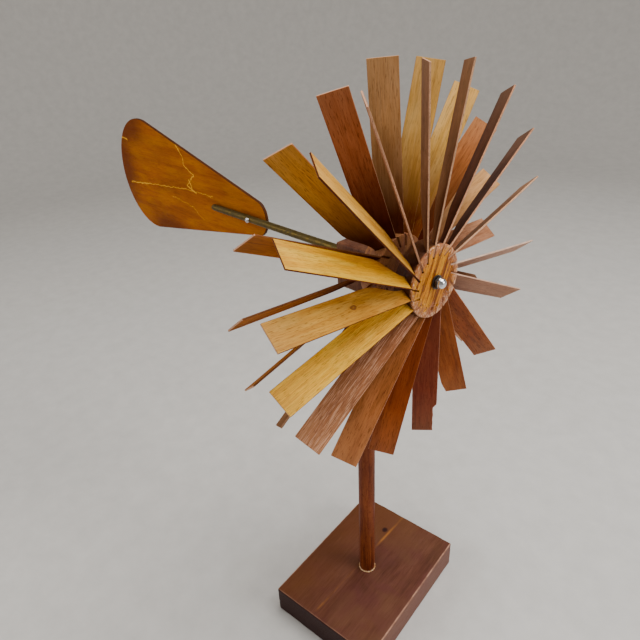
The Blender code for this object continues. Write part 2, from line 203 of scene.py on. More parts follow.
def mesh_from(bm, name, sharp_over=35):
    """A finished mesh, smooth except along edges bent by more than the given degrees."""
    bmesh.ops.recalc_face_normals(bm, faces=bm.faces)
    mesh = bpy.data.meshes.new(name)
    bm.to_mesh(mesh)
    bm.free()
    mesh.shade_smooth()
    mesh.set_sharp_from_angle(angle=math.radians(sharp_over))
    return mesh


def add_piece(name, mesh, place, materials):
    piece = bpy.data.objects.new(name, mesh)
    bpy.context.scene.collection.objects.link(piece)
    piece.matrix_world = place
    for material in materials:
        mesh.materials.append(material)
    return piece


def stand_in(piece, node, body):
    """Puts a finished piece in its CAD node's place."""
    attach(piece, body)
    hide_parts(node)


def cut(piece, cutter_mesh, place=Matrix.Identity(4)):
    """Takes a shape, placed in the piece's own frame, out of the piece for good."""
    cutter = bpy.data.objects.new("cutter", cutter_mesh)
    bpy.context.scene.collection.objects.link(cutter)
    cutter.matrix_world = piece.matrix_world @ place
    boolean = piece.modifiers.new("cut", 'BOOLEAN')
    boolean.operation = 'DIFFERENCE'
    boolean.solver = 'EXACT'
    boolean.object = cutter
    bpy.context.view_layer.update()
    seen = piece.evaluated_get(bpy.context.evaluated_depsgraph_get())
    whole = bpy.data.meshes.new_from_object(seen)
    piece.modifiers.clear()
    piece.data = whole
    bpy.data.objects.remove(cutter, do_unlink=True)


def lathe(name, profile, steps, closed=True, sharp_over=35):
    """Turns (radius, height) points about +Z. An open profile starts and ends on the axis."""
    bm = bmesh.new()
    verts = [bm.verts.new((radius, 0.0, height)) for radius, height in profile]
    ends = verts[1:] + verts[:1] if closed else verts[1:]
    edges = [bm.edges.new(pair) for pair in zip(verts, ends)]
    bmesh.ops.spin(bm, geom=verts + edges, cent=(0, 0, 0), axis=(0, 0, 1),
                   angle=2 * math.pi, steps=steps, use_merge=True)
    bmesh.ops.remove_doubles(bm, verts=bm.verts, dist=0.001 * MM)
    return mesh_from(bm, name, sharp_over)


def add_box(bm, low, high, place=Matrix.Identity(4)):
    size = [b - a for a, b in zip(low, high)]
    middle = [(a + b) / 2 for a, b in zip(low, high)]
    fit = place @ Matrix.Translation(middle) @ Matrix.Diagonal((*size, 1.0))
    bmesh.ops.create_cube(bm, size=1.0, matrix=fit)


def bridge(bm, low, high):
    """Quads between two loops of vertices, as a list in the loops' order."""
    count = len(low)
    return [bm.faces.new((low[k], low[(k + 1) % count], high[(k + 1) % count], high[k]))
            for k in range(count)]


def smooth_step(value, start, end):
    t = min(max((value - start) / (end - start), 0.0), 1.0)
    return t * t * (3 - 2 * t)


ALONG_X = Matrix.Rotation(math.radians(90), 4, 'Y')
ALONG_Y = Matrix.Rotation(math.radians(-90), 4, 'X')


# ---------------------------------------------------------------- materials

class Look:
    """One material's node tree. Each method adds nodes and gives back an output."""

    def __init__(self, name):
        self.material = bpy.data.materials.new(name)
        self.material.use_nodes = True
        self.tree = self.material.node_tree
        self.shader = self.tree.nodes["Principled BSDF"]

    def add(self, kind, inputs, output=0, **settings):
        node = self.tree.nodes.new(kind)
        for key, value in settings.items():
            setattr(node, key, value)
        for key, value in inputs.items():
            self.put(node.inputs[key], value)
        return node.outputs[output]

    def put(self, socket, value):
        if isinstance(value, bpy.types.NodeSocket):
            self.tree.links.new(value, socket)
        else:
            socket.default_value = value

    def set(self, **sockets):
        for key, value in sockets.items():
            self.put(self.shader.inputs[key.replace("_", " ")], value)

    def where(self, shift=(0, 0, 0), turn=(0, 0, 0)):
        """Places on the piece, turned so that its grain runs along an axis, then shifted."""
        own = self.add("ShaderNodeTexCoord", {}, output="Object")
        return self.add("ShaderNodeMapping", {"Vector": own, "Rotation": turn,
                                              "Location": shift})

    def stretch(self, vector, scale):
        return self.add("ShaderNodeMapping", {"Vector": vector, "Scale": scale})

    def noise(self, vector, scale, detail=3.0, rough=0.5, warp=0.0):
        return self.add("ShaderNodeTexNoise", {"Vector": vector, "Scale": scale,
                                               "Detail": detail, "Roughness": rough,
                                               "Distortion": warp})

    def ramp(self, value, stops):
        """A colour ramp. Stops are (position, linear RGBA or a grey)."""
        node = self.tree.nodes.new("ShaderNodeValToRGB")
        self.put(node.inputs[0], value)
        ramp = node.color_ramp
        while len(ramp.elements) < len(stops):
            ramp.elements.new(0.5)
        for element, (position, colour) in zip(ramp.elements, stops):
            element.position = position
            grey = (colour, colour, colour, 1.0)
            element.color = grey if isinstance(colour, (int, float)) else colour
        return node.outputs[0]

    def mix(self, factor, a, b, blend='MIX'):
        return self.add("ShaderNodeMix", {0: factor, 6: a, 7: b}, output=2,
                        data_type='RGBA', blend_type=blend)

    def math(self, operation, a, b=0.0, clamp=False):
        return self.add("ShaderNodeMath", {0: a, 1: b}, operation=operation, use_clamp=clamp)

    def vector(self, operation, a, b=(0, 0, 0), output=0):
        return self.add("ShaderNodeVectorMath", {0: a, 1: b}, output=output,
                        operation=operation)

    def part(self, vector, axis):
        """A vector's X, Y or Z."""
        return self.add("ShaderNodeSeparateXYZ", {"Vector": vector}, output=axis)

    def blot(self, vector, middle, reach):
        """1 at a point, falling to 0 at an ellipsoid of the given half sizes."""
        away = self.vector('SUBTRACT', vector, middle)
        scaled = self.vector('DIVIDE', away, reach)
        length = self.vector('LENGTH', scaled, output="Value")
        return self.math('SUBTRACT', 1.0, length, clamp=True)

    def line(self, vector, start, end, width):
        """1 on the straight line between two points, 0 further off than the width."""
        along = Vector(end) - Vector(start)
        off = self.vector('SUBTRACT', vector, start)
        share = self.math('DIVIDE', self.vector('DOT_PRODUCT', off, along, output="Value"),
                          along.length_squared, clamp=True)
        foot = self.add("ShaderNodeVectorMath", {0: along, "Scale": share}, operation='SCALE')
        away = self.vector('DISTANCE', off, foot, output="Value")
        return self.math('SUBTRACT', 1.0, self.math('DIVIDE', away, width), clamp=True)

    def bump(self, height, strength, distance):
        normal = self.add("ShaderNodeBump", {"Height": height, "Strength": strength,
                                             "Distance": distance})
        self.put(self.shader.inputs["Normal"], normal)


def scatter(seed):
    """A shift that gives each material its own stretch of the same noise."""
    dice = random.Random(seed)
    return [dice.uniform(-2, 2) for _ in range(3)]


def grain_scale(axis, squeeze):
    """Scale that draws a pattern out along one axis."""
    scale = [1.0, 1.0, 1.0]
    scale["XYZ".index(axis)] = squeeze
    return scale


def wood(name, tones, seed, axis='Z', turn=(0, 0, 0), coarse=1.0, pores=0.6, rough=0.45,
         shine=0.12, contrast=0.6, figure=None):
    """Varnished open-pored wood: broad bands, fine streaks, short dark pores.

    Figure may change the colour before the pores go on: it is called with the look, the
    places and the colour so far.
    """
    dark, body, light = [srgb(code) for code in tones[:3]]
    look = Look(name)
    place = look.where(turn=turn)
    here = look.vector('ADD', place, scatter(seed))
    bands = look.noise(look.stretch(here, grain_scale(axis, 0.05)), 90 * coarse, 2, 0.5, 0.6)
    streaks = look.noise(look.stretch(here, grain_scale(axis, 0.04)), 500 * coarse, 4, 0.62, 0.3)
    fibre = look.noise(look.stretch(here, grain_scale(axis, 0.05)), 1500 * coarse, 3, 0.7)
    cloud = look.noise(look.stretch(here, grain_scale(axis, 0.4)), 45, 3, 0.55)
    patch = look.noise(look.stretch(here, grain_scale(axis, 0.2)), 110, 3, 0.55, 0.4)
    blend = look.math('ADD', look.math('MULTIPLY', bands, 0.45),
                      look.math('MULTIPLY', streaks, 0.55))
    spread = 0.11 / contrast
    colour = look.ramp(blend, [(0.5 - spread, dark), (0.5, body), (0.5 + spread, light)])
    colour = look.mix(look.ramp(patch, [(0.48, 0.0), (0.64, 0.6)]), colour, light)
    shade = look.ramp(cloud, [(0.32, 0.74), (0.62, 1.0)])
    colour = look.mix(0.8, colour, shade, 'MULTIPLY')
    colour = look.mix(0.6, colour, look.ramp(fibre, [(0.32, 0.6), (0.55, 1.0)]), 'MULTIPLY')
    if figure:
        colour = figure(look, place, colour)
    pore_noise = look.noise(look.stretch(here, grain_scale(axis, 0.08)), 1800 * coarse, 2, 0.6)
    pore = look.ramp(pore_noise, [(0.57, 0.0), (0.66, 1.0)])
    deep = tuple(0.45 * c for c in dark[:3]) + (1.0,)
    colour = look.mix(look.math('MULTIPLY', pore, pores), colour, deep)
    gloss = look.math('ADD', rough - 0.06, look.math('MULTIPLY', streaks, 0.2))
    look.set(Base_Color=colour, Specular_IOR_Level=shine, Coat_Weight=0.03, Coat_Roughness=0.3,
             Roughness=look.math('ADD', gloss, look.math('MULTIPLY', pore, 0.2)))
    height = look.math('SUBTRACT', look.math('MULTIPLY', fibre, 0.5), pore)
    look.bump(height, 0.3, 0.1 * MM)
    return look.material


def cut_edge(name, colour, seed, axis='Z', end=None):
    """A sawn edge with short dark dashes across it. End is (where it starts, its colour)."""
    look = Look(name)
    place = look.where()
    here = look.vector('ADD', place, scatter(seed))
    hatch = look.noise(look.stretch(here, grain_scale(axis, 0.45)), 1500, 3, 0.7, 0.4)
    worn = look.noise(here, 60, 2, 0.5)
    pale = srgb(colour)
    dark = tuple(0.4 * c for c in pale[:3]) + (1.0,)
    colour = look.ramp(hatch, [(0.34, dark), (0.5, pale)])
    colour = look.mix(look.ramp(worn, [(0.4, 0.0), (0.75, 0.55)]), colour, dark)
    if end:
        start, tint = end
        past = look.math('GREATER_THAN', look.part(place, "Z"), start)
        colour = look.mix(past, colour, srgb(tint))
    look.set(Base_Color=colour, Specular_IOR_Level=0.1,
             Roughness=look.ramp(hatch, [(0.3, 0.62), (0.7, 0.45)]))
    look.bump(hatch, 0.4, 0.15 * MM)
    return look.material


def metal(name, colour, tarnish, rough, spots, seed, scale=260):
    """A metal with blotches of tarnish and fine scratches."""
    look = Look(name)
    here = look.where(scatter(seed))
    blotch = look.noise(here, scale, 4, 0.65, 0.5)
    scratch = look.noise(look.stretch(here, (1, 1, 0.08)), 2600, 2, 0.6)
    cover = look.ramp(blotch, [(spots - 0.08, 1.0), (spots + 0.1, 0.0)])
    colour = look.mix(cover, srgb(colour), srgb(tarnish))
    uneven = look.math('ADD', rough, look.math('MULTIPLY', cover, 0.22))
    look.set(Base_Color=colour, Metallic=look.ramp(cover, [(0.0, 1.0), (1.0, 0.6)]),
             Roughness=look.math('ADD', uneven, look.math('MULTIPLY', scratch, 0.08)))
    look.bump(look.math('ADD', scratch, blotch), 0.12, 0.05 * MM)
    return look.material


def glue(name):
    """Dried glue, lumpy and yellowed."""
    look = Look(name)
    here = look.where()
    lumps = look.noise(here, 500, 3, 0.5)
    look.set(Base_Color=look.ramp(lumps, [(0.35, srgb("#a8763f")), (0.65, srgb("#e2c192"))]),
             Roughness=look.ramp(lumps, [(0.3, 0.5), (0.7, 0.3)]))
    look.bump(lumps, 0.5, 0.3 * MM)
    return look.material


def floor_paint():
    """A plain pale matt floor."""
    look = Look("pale_floor")
    here = look.where()
    speck = look.noise(here, 30, 4, 0.6)
    look.set(Base_Color=look.ramp(speck, [(0.3, srgb("#bfbbb5")), (0.7, srgb("#c8c4be"))]),
             Roughness=look.ramp(speck, [(0.3, 0.8), (0.7, 0.7)]))
    return look.material


# ---------------------------------------------------------------- slats

def slat_widths(z, tip, chip):
    """Where a slat's rear and front edges are at a distance out from the axle."""
    half = BLADE_WIDTH / 2
    rear = -half * smooth_step(z, *FLARE)
    front = half
    if chip:
        edge, start, end, deep = chip
        back = tip - z
        ragged = deep * (1 + 0.25 * noise.noise(Vector((z * 400, deep * 900, 0))))
        if edge == "front" and start <= back <= end:
            front -= ragged * smooth_step(end - back, 0, 2 * MM)
        if edge == "rear" and start <= back <= end:
            rear += ragged * (end - back) / (end - start)
    return rear, front


def slat_section(z, tip, chip, ease, warp):
    """One loop round a slat, with its arrises taken off."""
    rear, front = slat_widths(z, tip, chip)
    half = BLADE_T / 2 - ease
    front -= ease
    rear += ease
    saw = SAW_WAVE * noise.noise(Vector((z * 300, warp * 9, 0)))
    front += min(saw, 0)
    columns = [rear + ARRIS + (front - rear - 2 * ARRIS) * k / 3 for k in range(4)]
    loop = [(x, half) for x in columns]
    loop += [(front, half - ARRIS), (front, -half + ARRIS)]
    loop += [(x, -half) for x in reversed(columns)]
    loop += [(rear, -half + ARRIS), (rear, half - ARRIS)]
    reach = max(0.0, (z - TONGUE_END) / (TIP_R - TONGUE_END))
    bend = warp * TIP_BEND * reach ** 2
    twist = warp * TIP_TWIST * reach ** 2
    return [(x, y + bend + twist * x, z) for x, y in loop]


def slat_mesh(name, tip, chip, warp):
    """A slat in its own plane: +Z out along its middle line, +X its front edge."""
    stops = [ROOT_R + k * (TONGUE_END - ROOT_R) / 4 for k in range(4)]
    stops += [TONGUE_END + k * 3 * MM for k in range(11)]
    steps = 32
    reach = stops[-1]
    stops += [reach + (tip - ARRIS - reach) * k / steps for k in range(1, steps + 1)]
    sections = [slat_section(ROOT_R - ARRIS / 2, tip, chip, ARRIS, warp)]
    sections += [slat_section(z, tip, chip, 0.0, warp) for z in stops]
    sections.append(slat_section(tip, tip, chip, ARRIS, warp))
    bm = bmesh.new()
    loops = [[bm.verts.new(point) for point in section] for section in sections]
    face_sides = {0, 1, 2, 6, 7, 8}
    for low, high in zip(loops, loops[1:]):
        for side, face in enumerate(bridge(bm, low, high)):
            face.material_index = 0 if side in face_sides else 1
    for loop in (loops[0], loops[-1]):
        bm.faces.new(loop).material_index = 1
    return mesh_from(bm, name, 25)


def blade_place(side, number):
    """From a slat's own plane to the rotor's frame, whose origin is the hub's face."""
    first, hand, miss = ROTORS[side]
    turn = first + 2 * math.pi * number / BLADE_COUNT
    lean = math.radians(SLATS[side][number][1])
    middle_x = -FACE_TO_BLADE - BLADE_WIDTH / 2 * math.cos(BLADE_PITCH)
    swing = (Matrix.Translation((0, miss, ROOT_R)) @ Matrix.Rotation(-lean, 4, 'X')
             @ Matrix.Translation((0, 0, -ROOT_R)))
    return (Matrix.Translation((middle_x, 0, 0)) @ Matrix.Rotation(-turn, 4, 'X')
            @ swing @ Matrix.Rotation(-hand * BLADE_PITCH, 4, 'Z'))


def root_shade_dirt_and_tip_bleach(look, place, colour, root, bleach):
    """Painted shade with dirt, darker and redder towards the hub where the slats stand close;
    bleached at the tip.
    """
    share = look.math('DIVIDE', look.part(place, "Z"), TIP_R)
    # painted shade with dirt: darkens the colour towards the hub
    near = look.ramp(share, [(0.28, root), (0.75, 1.0)])
    bleached = look.ramp(share, [(0.7, 0.0), (1.0, bleach)])
    return look.mix(bleached, look.mix(1.0, colour, near, 'MULTIPLY'), srgb("#ac8464"))


def front_figure(look, place, colour):
    # mild painted shade with dirt at the front slats' roots
    return root_shade_dirt_and_tip_bleach(look, place, colour, (0.78, 0.7, 0.62, 1.0), 0.2)


def rear_figure(look, place, colour):
    # strong painted shade with dirt at the rear slats' roots, close to black
    return root_shade_dirt_and_tip_bleach(look, place, colour, (0.18, 0.065, 0.03, 1.0), 0.22)


def knot_figure(look, place, colour):
    """A small knot with a dark ring, in the inner half of one of the pale slats."""
    warp = look.math('MULTIPLY', look.noise(place, 300, 2, 0.5), 0.5)
    eye = look.blot(place, (0, 0, 90 * MM), (2.6 * MM, 9 * MM, 4.2 * MM))
    ring = look.ramp(look.math('ADD', eye, look.math('SUBTRACT', warp, 0.25)),
                     [(0.1, 0.0), (0.35, 0.85), (0.6, 0.9), (0.8, 0.2)])
    return look.mix(ring, front_figure(look, place, colour), srgb("#643214"))


def streaky(pale):
    """A figure with fine pale streaks along the grain."""
    def figure(look, place, colour):
        fine = look.noise(look.stretch(place, (1, 1, 0.03)), 1900, 3, 0.6)
        streak = look.ramp(fine, [(0.5, 0.0), (0.62, 0.55)])
        return look.mix(streak, front_figure(look, place, colour), srgb(pale))
    return figure


def slat_figure(side, label):
    """Which figure one slat has: a knot, pale streaks, or only its rotor's ageing."""
    if label == KNOTTED:
        return knot_figure
    if label in STREAKY:
        return streaky(STREAKY[label])
    return front_figure if side == "front" else rear_figure


def build_slats(side, spin):
    """One rotor's slats, each with its own wood, length, lean and slight warp."""
    for number, (tone, _, short) in enumerate(SLATS[side]):
        label = f"{side}_blade_{number + 1:02d}"
        dice = random.Random(label)
        codes = SLAT_TONES[tone]
        face = wood(f"{label}_face", codes, label, figure=slat_figure(side, label),
                    pores=dice.uniform(0.45, 0.7), rough=0.48, shine=SHINE[side], contrast=0.5)
        tip = TIP_R - short * MM
        end = None if label in DARK_ENDED else (tip - 0.4 * MM, END_GRAIN)
        # the cut edge's colour is partly sawn wood and partly painted light and shade
        edge = cut_edge(f"{label}_edge", codes[3], label, end=end)
        mesh = slat_mesh(f"{label}_slat", tip, CHIPS.get((side, number + 1)),
                         dice.uniform(-1, 1))
        slat = add_piece(f"{label}_slat", mesh, spin @ blade_place(side, number), [face, edge])
        stand_in(slat, label, f"{side}_rotor")


# ---------------------------------------------------------------- hubs

def worn_rim_and_painted_side_shade(look, place, colour):
    """Varnish pink in patches, flaked on one side, specks of glue; dark down the rim's side,
    partly a darker stain and partly painted shade.
    """
    reach = look.vector('LENGTH', look.stretch(place, (0, 1, 1)), output="Value")
    uneven = look.vector('DOT_PRODUCT', place, (0, 1.6, -0.6), output="Value")
    share = look.math('ADD', look.math('MULTIPLY', reach, 0.5 / HUB_R), uneven)
    patch = look.noise(look.stretch(place, (1, 1, 0.5)), 130, 3, 0.65, 0.5)
    pink = look.ramp(look.math('ADD', share, look.math('MULTIPLY', patch, 0.8)),
                     [(0.77, 0.0), (0.86, 0.75)])
    colour = look.mix(pink, colour, srgb("#a2674a"))
    flake = look.noise(look.stretch(place, (1, 1, 0.6)), 520, 3, 0.6)
    bare = look.ramp(look.math('ADD', share, look.math('MULTIPLY', flake, 0.8)),
                     [(0.88, 0.0), (0.93, 0.85)])
    colour = look.mix(bare, colour, srgb("#d8a684"))
    outer = look.ramp(look.math('DIVIDE', reach, HUB_R), [(0.6, 0.0), (0.66, 1.0)])
    speck = look.ramp(look.noise(place, 620, 2, 0.5), [(0.66, 0.0), (0.7, 0.8)])
    colour = look.mix(look.math('MULTIPLY', speck, outer), colour, srgb("#e0c4a8"))
    # painted shade with a darker stain: the rim's side darkens away from the face
    deep = look.math('DIVIDE', look.part(place, "X"), -HUB_T)
    side = look.ramp(deep, [(0.04, 0.0), (0.14, 0.93)])
    return look.mix(side, colour, srgb("#36180c"))


def dull_varnish_and_painted_shade(look, _, colour):
    """A pinkish brown that hides most of the grain, darker and duller than the front hub: partly
    the rear hub's varnish and partly painted shade.
    """
    # painted shade: the whole rear hub is a darker, duller copy of the hub wood
    return look.mix(0.75, colour, srgb("#7e5040"))


def build_hub(side, spin):
    """A turned disc with eighteen kerfs, faces and rim slightly eased."""
    ease = HUB_EASE
    near = ease * 0.3
    profile = [(SLEEVE_BORE_R, -HUB_T), (HUB_R - ease, -HUB_T), (HUB_R - near, -HUB_T + near),
               (HUB_R, -HUB_T + ease), (HUB_R, -ease), (HUB_R - near, -near),
               (HUB_R - ease, 0), (SLEEVE_BORE_R, 0)]
    disc = lathe(f"{side}_hub_disc", profile, 144, sharp_over=30)
    disc.transform(ALONG_X)
    tones = ("#783804", "#ca780c", "#dc9420")
    grain = wood(f"{side}_hub_wood", tones, side, turn=(math.radians(24), 0, 0), coarse=1.2,
                 pores=1.0, contrast=1.9, figure=worn_rim_and_painted_side_shade if side == "front" else dull_varnish_and_painted_shade)
    hub = add_piece(f"{side}_hub_disc", disc, spin, [grain])
    bm = bmesh.new()
    thick = BLADE_T / 2 + GAP / 2
    spare = 8 * MM
    low = Vector((-GAP, -thick, KERF_FLOOR_R))
    high = Vector((BLADE_WIDTH / 2 + spare, thick, HUB_R + spare))
    for number in range(BLADE_COUNT):
        add_box(bm, low, high, blade_place(side, number))
    cut(hub, mesh_from(bm, "kerfs"))
    hub.data.set_sharp_from_angle(angle=math.radians(30))
    stand_in(hub, f"{side}_hub", f"{side}_rotor")


# ---------------------------------------------------------------- tail

def ellipse_arc(ellipse, start, end, steps):
    """Points along an ellipse between two angles in degrees."""
    x, z, long, high = ellipse
    turns = [math.radians(start + (end - start) * k / steps) for k in range(steps + 1)]
    return [(x + long * math.cos(turn), z + high * math.sin(turn)) for turn in turns]


def vane_figure(look, place, colour):
    """Pale cracks in the boom side's varnish, one jagged and one long, and a dark tail."""
    shake = look.add("ShaderNodeTexNoise", {"Vector": place, "Scale": 100.0, "Detail": 5.0,
                                            "Roughness": 0.75}, output=1)
    shift = look.vector('MULTIPLY', look.vector('SUBTRACT', shake, (0.5, 0.5, 0.5)),
                        (14 * MM, 0, 8 * MM))
    near = look.vector('MULTIPLY', look.vector('ADD', place, shift), (1, 0, 1))
    dark_spots = (((-478, 16), (52, 76)), ((-440, 74), (56, 30)), ((-360, -56), (76, 24)))
    for middle, reach in dark_spots:
        spot = look.blot(near, (middle[0] * MM, 0, middle[1] * MM),
                         (reach[0] * MM, 1, reach[1] * MM))
        colour = look.mix(look.ramp(spot, [(0.0, 0.0), (0.6, 0.8)]), colour, srgb("#5e2403"))
    seen = look.math('LESS_THAN', look.part(place, "Y"), BOOM_R + GAP + VANE_T / 2)
    for start, end, width, strength in VANE_CRACKS:
        ends = [(x * MM, 0, z * MM) for x, z in (start, end)]
        crack = look.line(near, *ends, width * MM)
        shown = look.math('MULTIPLY', crack, 1.3 * strength, clamp=True)
        colour = look.mix(look.math('MULTIPLY', shown, seen), colour, srgb("#f0ac20"))
    return colour


def screw_hole():
    """A cutter for the tail screw's hole through boom and vane."""
    radius = SCREW_R + GAP / 2
    reach = 3 * BOOM_R
    hole = lathe("screw_hole", [(0, -reach), (radius, -reach), (radius, reach), (0, reach)], 32,
                 closed=False)
    hole.transform(Matrix.Translation((VANE_SCREW_X, 0, 0)) @ ALONG_Y)
    return hole


def build_vane(head):
    """A thin paddle: two ellipses joined by straight sides, its rims rounded."""
    nose = ellipse_arc(NOSE, LOW_TOUCH, TOP_TOUCH, 28)
    tail = ellipse_arc(TAIL, TOP_TOUCH, 360 + LOW_TOUCH, 90)
    near = BOOM_R + GAP
    bm = bmesh.new()
    verts = [bm.verts.new((x, near, z)) for x, z in nose + tail]
    grown = bmesh.ops.extrude_face_region(bm, geom=[bm.faces.new(verts)])
    moved = [item for item in grown["geom"] if isinstance(item, bmesh.types.BMVert)]
    bmesh.ops.translate(bm, verts=moved, vec=(0, VANE_T, 0))
    rims = [edge for edge in bm.edges
            if edge.calc_face_angle(0) > 1.0 and abs(edge.verts[0].co.y - edge.verts[1].co.y) < MM]
    bmesh.ops.bevel(bm, geom=rims, offset=1.1 * MM, segments=3, profile=0.6, affect='EDGES')
    for face in bm.faces:
        face.material_index = 0 if abs(face.normal.y) > 0.95 else 1
    tones = ("#8a4200", "#aa5a02", "#bc7006")
    grain = wood("vane_wood_grain", tones, "vane", axis='X', coarse=0.9, pores=0.3, rough=0.46,
                 shine=0.05, contrast=0.5, figure=vane_figure)
    edge = cut_edge("vane_edge", "#4e2608", "vane", axis='Y')
    vane = add_piece("tail_vane_paddle", mesh_from(bm, "tail_vane_paddle", 50), head,
                     [grain, edge])
    cut(vane, screw_hole())
    vane.data.set_sharp_from_angle(angle=math.radians(50))
    stand_in(vane, "tail_vane", "head")


def build_boom(head, brass):
    """The boom rod, a little dented, with filed ends and a hole for the screw."""
    start, end = BOOM_SPAN
    steps = 90
    sides = 24
    bm = bmesh.new()
    loops = []
    for k in range(steps + 1):
        x = start + (end - start) * k / steps
        ease = 0.5 * MM if k in (0, steps) else 0.0
        loops.append([bm.verts.new(boom_point(x, 2 * math.pi * side / sides, ease))
                      for side in range(sides)])
    for low, high in zip(loops, loops[1:]):
        bridge(bm, low, high)
    bm.faces.new(loops[0])
    bm.faces.new(loops[-1])
    boom = add_piece("tail_boom_rod", mesh_from(bm, "tail_boom_rod", 40), head, [brass])
    cut(boom, screw_hole())
    boom.data.set_sharp_from_angle(angle=math.radians(40))
    stand_in(boom, "tail_boom", "head")


def boom_point(x, turn, ease):
    """A point on the boom's skin, which never stands further out than its full radius."""
    deepest = 0.08 * MM
    dent = 0.1 * MM * noise.noise(Vector((x * 60, math.cos(turn), math.sin(turn))))
    radius = BOOM_R - ease - deepest + min(dent, deepest)
    return (x, radius * math.cos(turn), radius * math.sin(turn))


def hex_loop(bm, flat_radius, height, steps=48):
    """A loop round a hexagon's outline, with points shared out evenly."""
    verts = []
    for k in range(steps):
        turn = 2 * math.pi * k / steps
        reach = flat_radius / math.cos(turn % (math.pi / 3) - math.pi / 6)
        verts.append(bm.verts.new((reach * math.cos(turn), reach * math.sin(turn), height)))
    return verts


def round_loop(bm, radius, height, steps=48):
    turns = [2 * math.pi * k / steps for k in range(steps)]
    return [bm.verts.new((radius * math.cos(turn), radius * math.sin(turn), height))
            for turn in turns]


def build_screw(head, steel):
    """The tail screw, its pan head on the boom, and its nut behind the vane."""
    head_y = -BOOM_R - GAP - SCREW_HEAD_T
    nut_y = BOOM_R + GAP + VANE_T + GAP
    length = nut_y + VANE_NUT_T + SCREW_TAIL - head_y
    turns = [math.radians(15 * k) for k in range(5, -1, -1)]
    crown = [(SCREW_HEAD_R * math.cos(turn), SCREW_HEAD_T * 0.75 * (1 - math.sin(turn)))
             for turn in turns]
    pitch = 0.5 * MM
    root = SCREW_R - 0.2 * MM
    shank = [(SCREW_HEAD_R, SCREW_HEAD_T), (SCREW_R, SCREW_HEAD_T)]
    for turn in range(int((length - SCREW_HEAD_T) / pitch) - 1):
        crest = SCREW_HEAD_T + (turn + 0.5) * pitch
        shank += [(SCREW_R, crest), (root, crest + pitch / 2)]
    shank += [(root, length), (0, length)]
    place = head @ Matrix.Translation((VANE_SCREW_X, head_y, 0)) @ ALONG_Y
    mesh = lathe("tail_screw", [(0, 0)] + crown + shank, 32, closed=False)
    screw = add_piece("tail_screw", mesh, place, [steel])
    bm = bmesh.new()
    add_box(bm, (-4 * MM, -0.35 * MM, -1 * MM), (4 * MM, 0.35 * MM, 0.8 * MM),
            Matrix.Rotation(math.radians(35), 4, 'Z'))
    cut(screw, mesh_from(bm, "slot"))
    stand_in(screw, "vane_screw", "head")
    build_small_nut(head @ Matrix.Translation((VANE_SCREW_X, nut_y, 0)) @ ALONG_Y, steel)


def build_small_nut(place, steel):
    """A hexagon nut with a plain bore and eased corners."""
    bm = bmesh.new()
    ease = 0.3 * MM
    bore = SCREW_R + GAP / 2
    loops = [round_loop(bm, bore, 0), round_loop(bm, VANE_NUT_FLAT_R, 0),
             hex_loop(bm, VANE_NUT_FLAT_R, ease), hex_loop(bm, VANE_NUT_FLAT_R, VANE_NUT_T - ease),
             round_loop(bm, VANE_NUT_FLAT_R, VANE_NUT_T), round_loop(bm, bore, VANE_NUT_T)]
    for low, high in zip(loops, loops[1:] + loops[:1]):
        bridge(bm, low, high)
    nut = add_piece("tail_nut", mesh_from(bm, "tail_nut", 25), place, [steel])
    stand_in(nut, "vane_nut", "head")


# ---------------------------------------------------------------- head

def build_block(head, grain):
    """The block on the post, bored for the boom, the axle and the swivel's sleeve."""
    bm = bmesh.new()
    add_box(bm, BLOCK_LOW, BLOCK_HIGH)
    bmesh.ops.bevel(bm, geom=bm.edges, offset=BLOCK_ROUND, segments=5, profile=0.5,
                    affect='EDGES')
    block = add_piece("head_block_eased", mesh_from(bm, "head_block_eased"), head, [grain])
    boom, axle, swivel = BLOCK_BORES
    bores = [(boom, BLOCK_LOW[0] - MM, -0.5 * MM, ALONG_X),
             (axle, -MM, BLOCK_HIGH[0] + MM, ALONG_X),
             (swivel, BLOCK_LOW[2] - MM, -6 * MM, Matrix.Identity(4))]
    for radius, start, end, turn in bores:
        bore = lathe("bore", [(0, start), (radius, start), (radius, end), (0, end)], 48, False)
        cut(block, bore, turn)
    block.data.set_sharp_from_angle(angle=math.radians(40))
    stand_in(block, "head_block", "head")


def build_acorn_nut(head, chrome, tarnished):
    """A bore, a tarnished hexagon with eased ends and a low bright dome."""
    bm = bmesh.new()
    steps = 96
    ease = 0.4 * MM
    dome_r = NUT_FLAT_R * 0.94
    bore, bore_depth = 3.5 * MM, 5.2 * MM
    loops = [round_loop(bm, bore, bore_depth, steps), round_loop(bm, bore, 0, steps),
             round_loop(bm, NUT_FLAT_R - ease, 0, steps), hex_loop(bm, NUT_FLAT_R, ease, steps),
             hex_loop(bm, NUT_FLAT_R, NUT_HEX_T - ease, steps),
             round_loop(bm, NUT_FLAT_R - ease / 2, NUT_HEX_T, steps)]
    rings = 14
    for ring in range(rings):
        turn = math.pi / 2 * ring / rings
        loops.append(round_loop(bm, dome_r * math.cos(turn) ** 0.8,
                                NUT_HEX_T + ease / 2 + (NUT_DOME_T - ease / 2) * math.sin(turn),
                                steps))
    dome_from = 5
    for step, (low, high) in enumerate(zip(loops, loops[1:])):
        for face in bridge(bm, low, high):
            face.material_index = int(step < dome_from)
    bm.faces.new(loops[0]).material_index = 1
    bm.faces.new(loops[-1])
    place = head @ Matrix.Translation((NUT_BACK_X, 0, 0)) @ ALONG_X
    nut = add_piece("acorn_nut_dome", mesh_from(bm, "acorn_nut_dome", 28), place,
                    [chrome, tarnished])
    stand_in(nut, "acorn_nut", "head")


# ---------------------------------------------------------------- stand

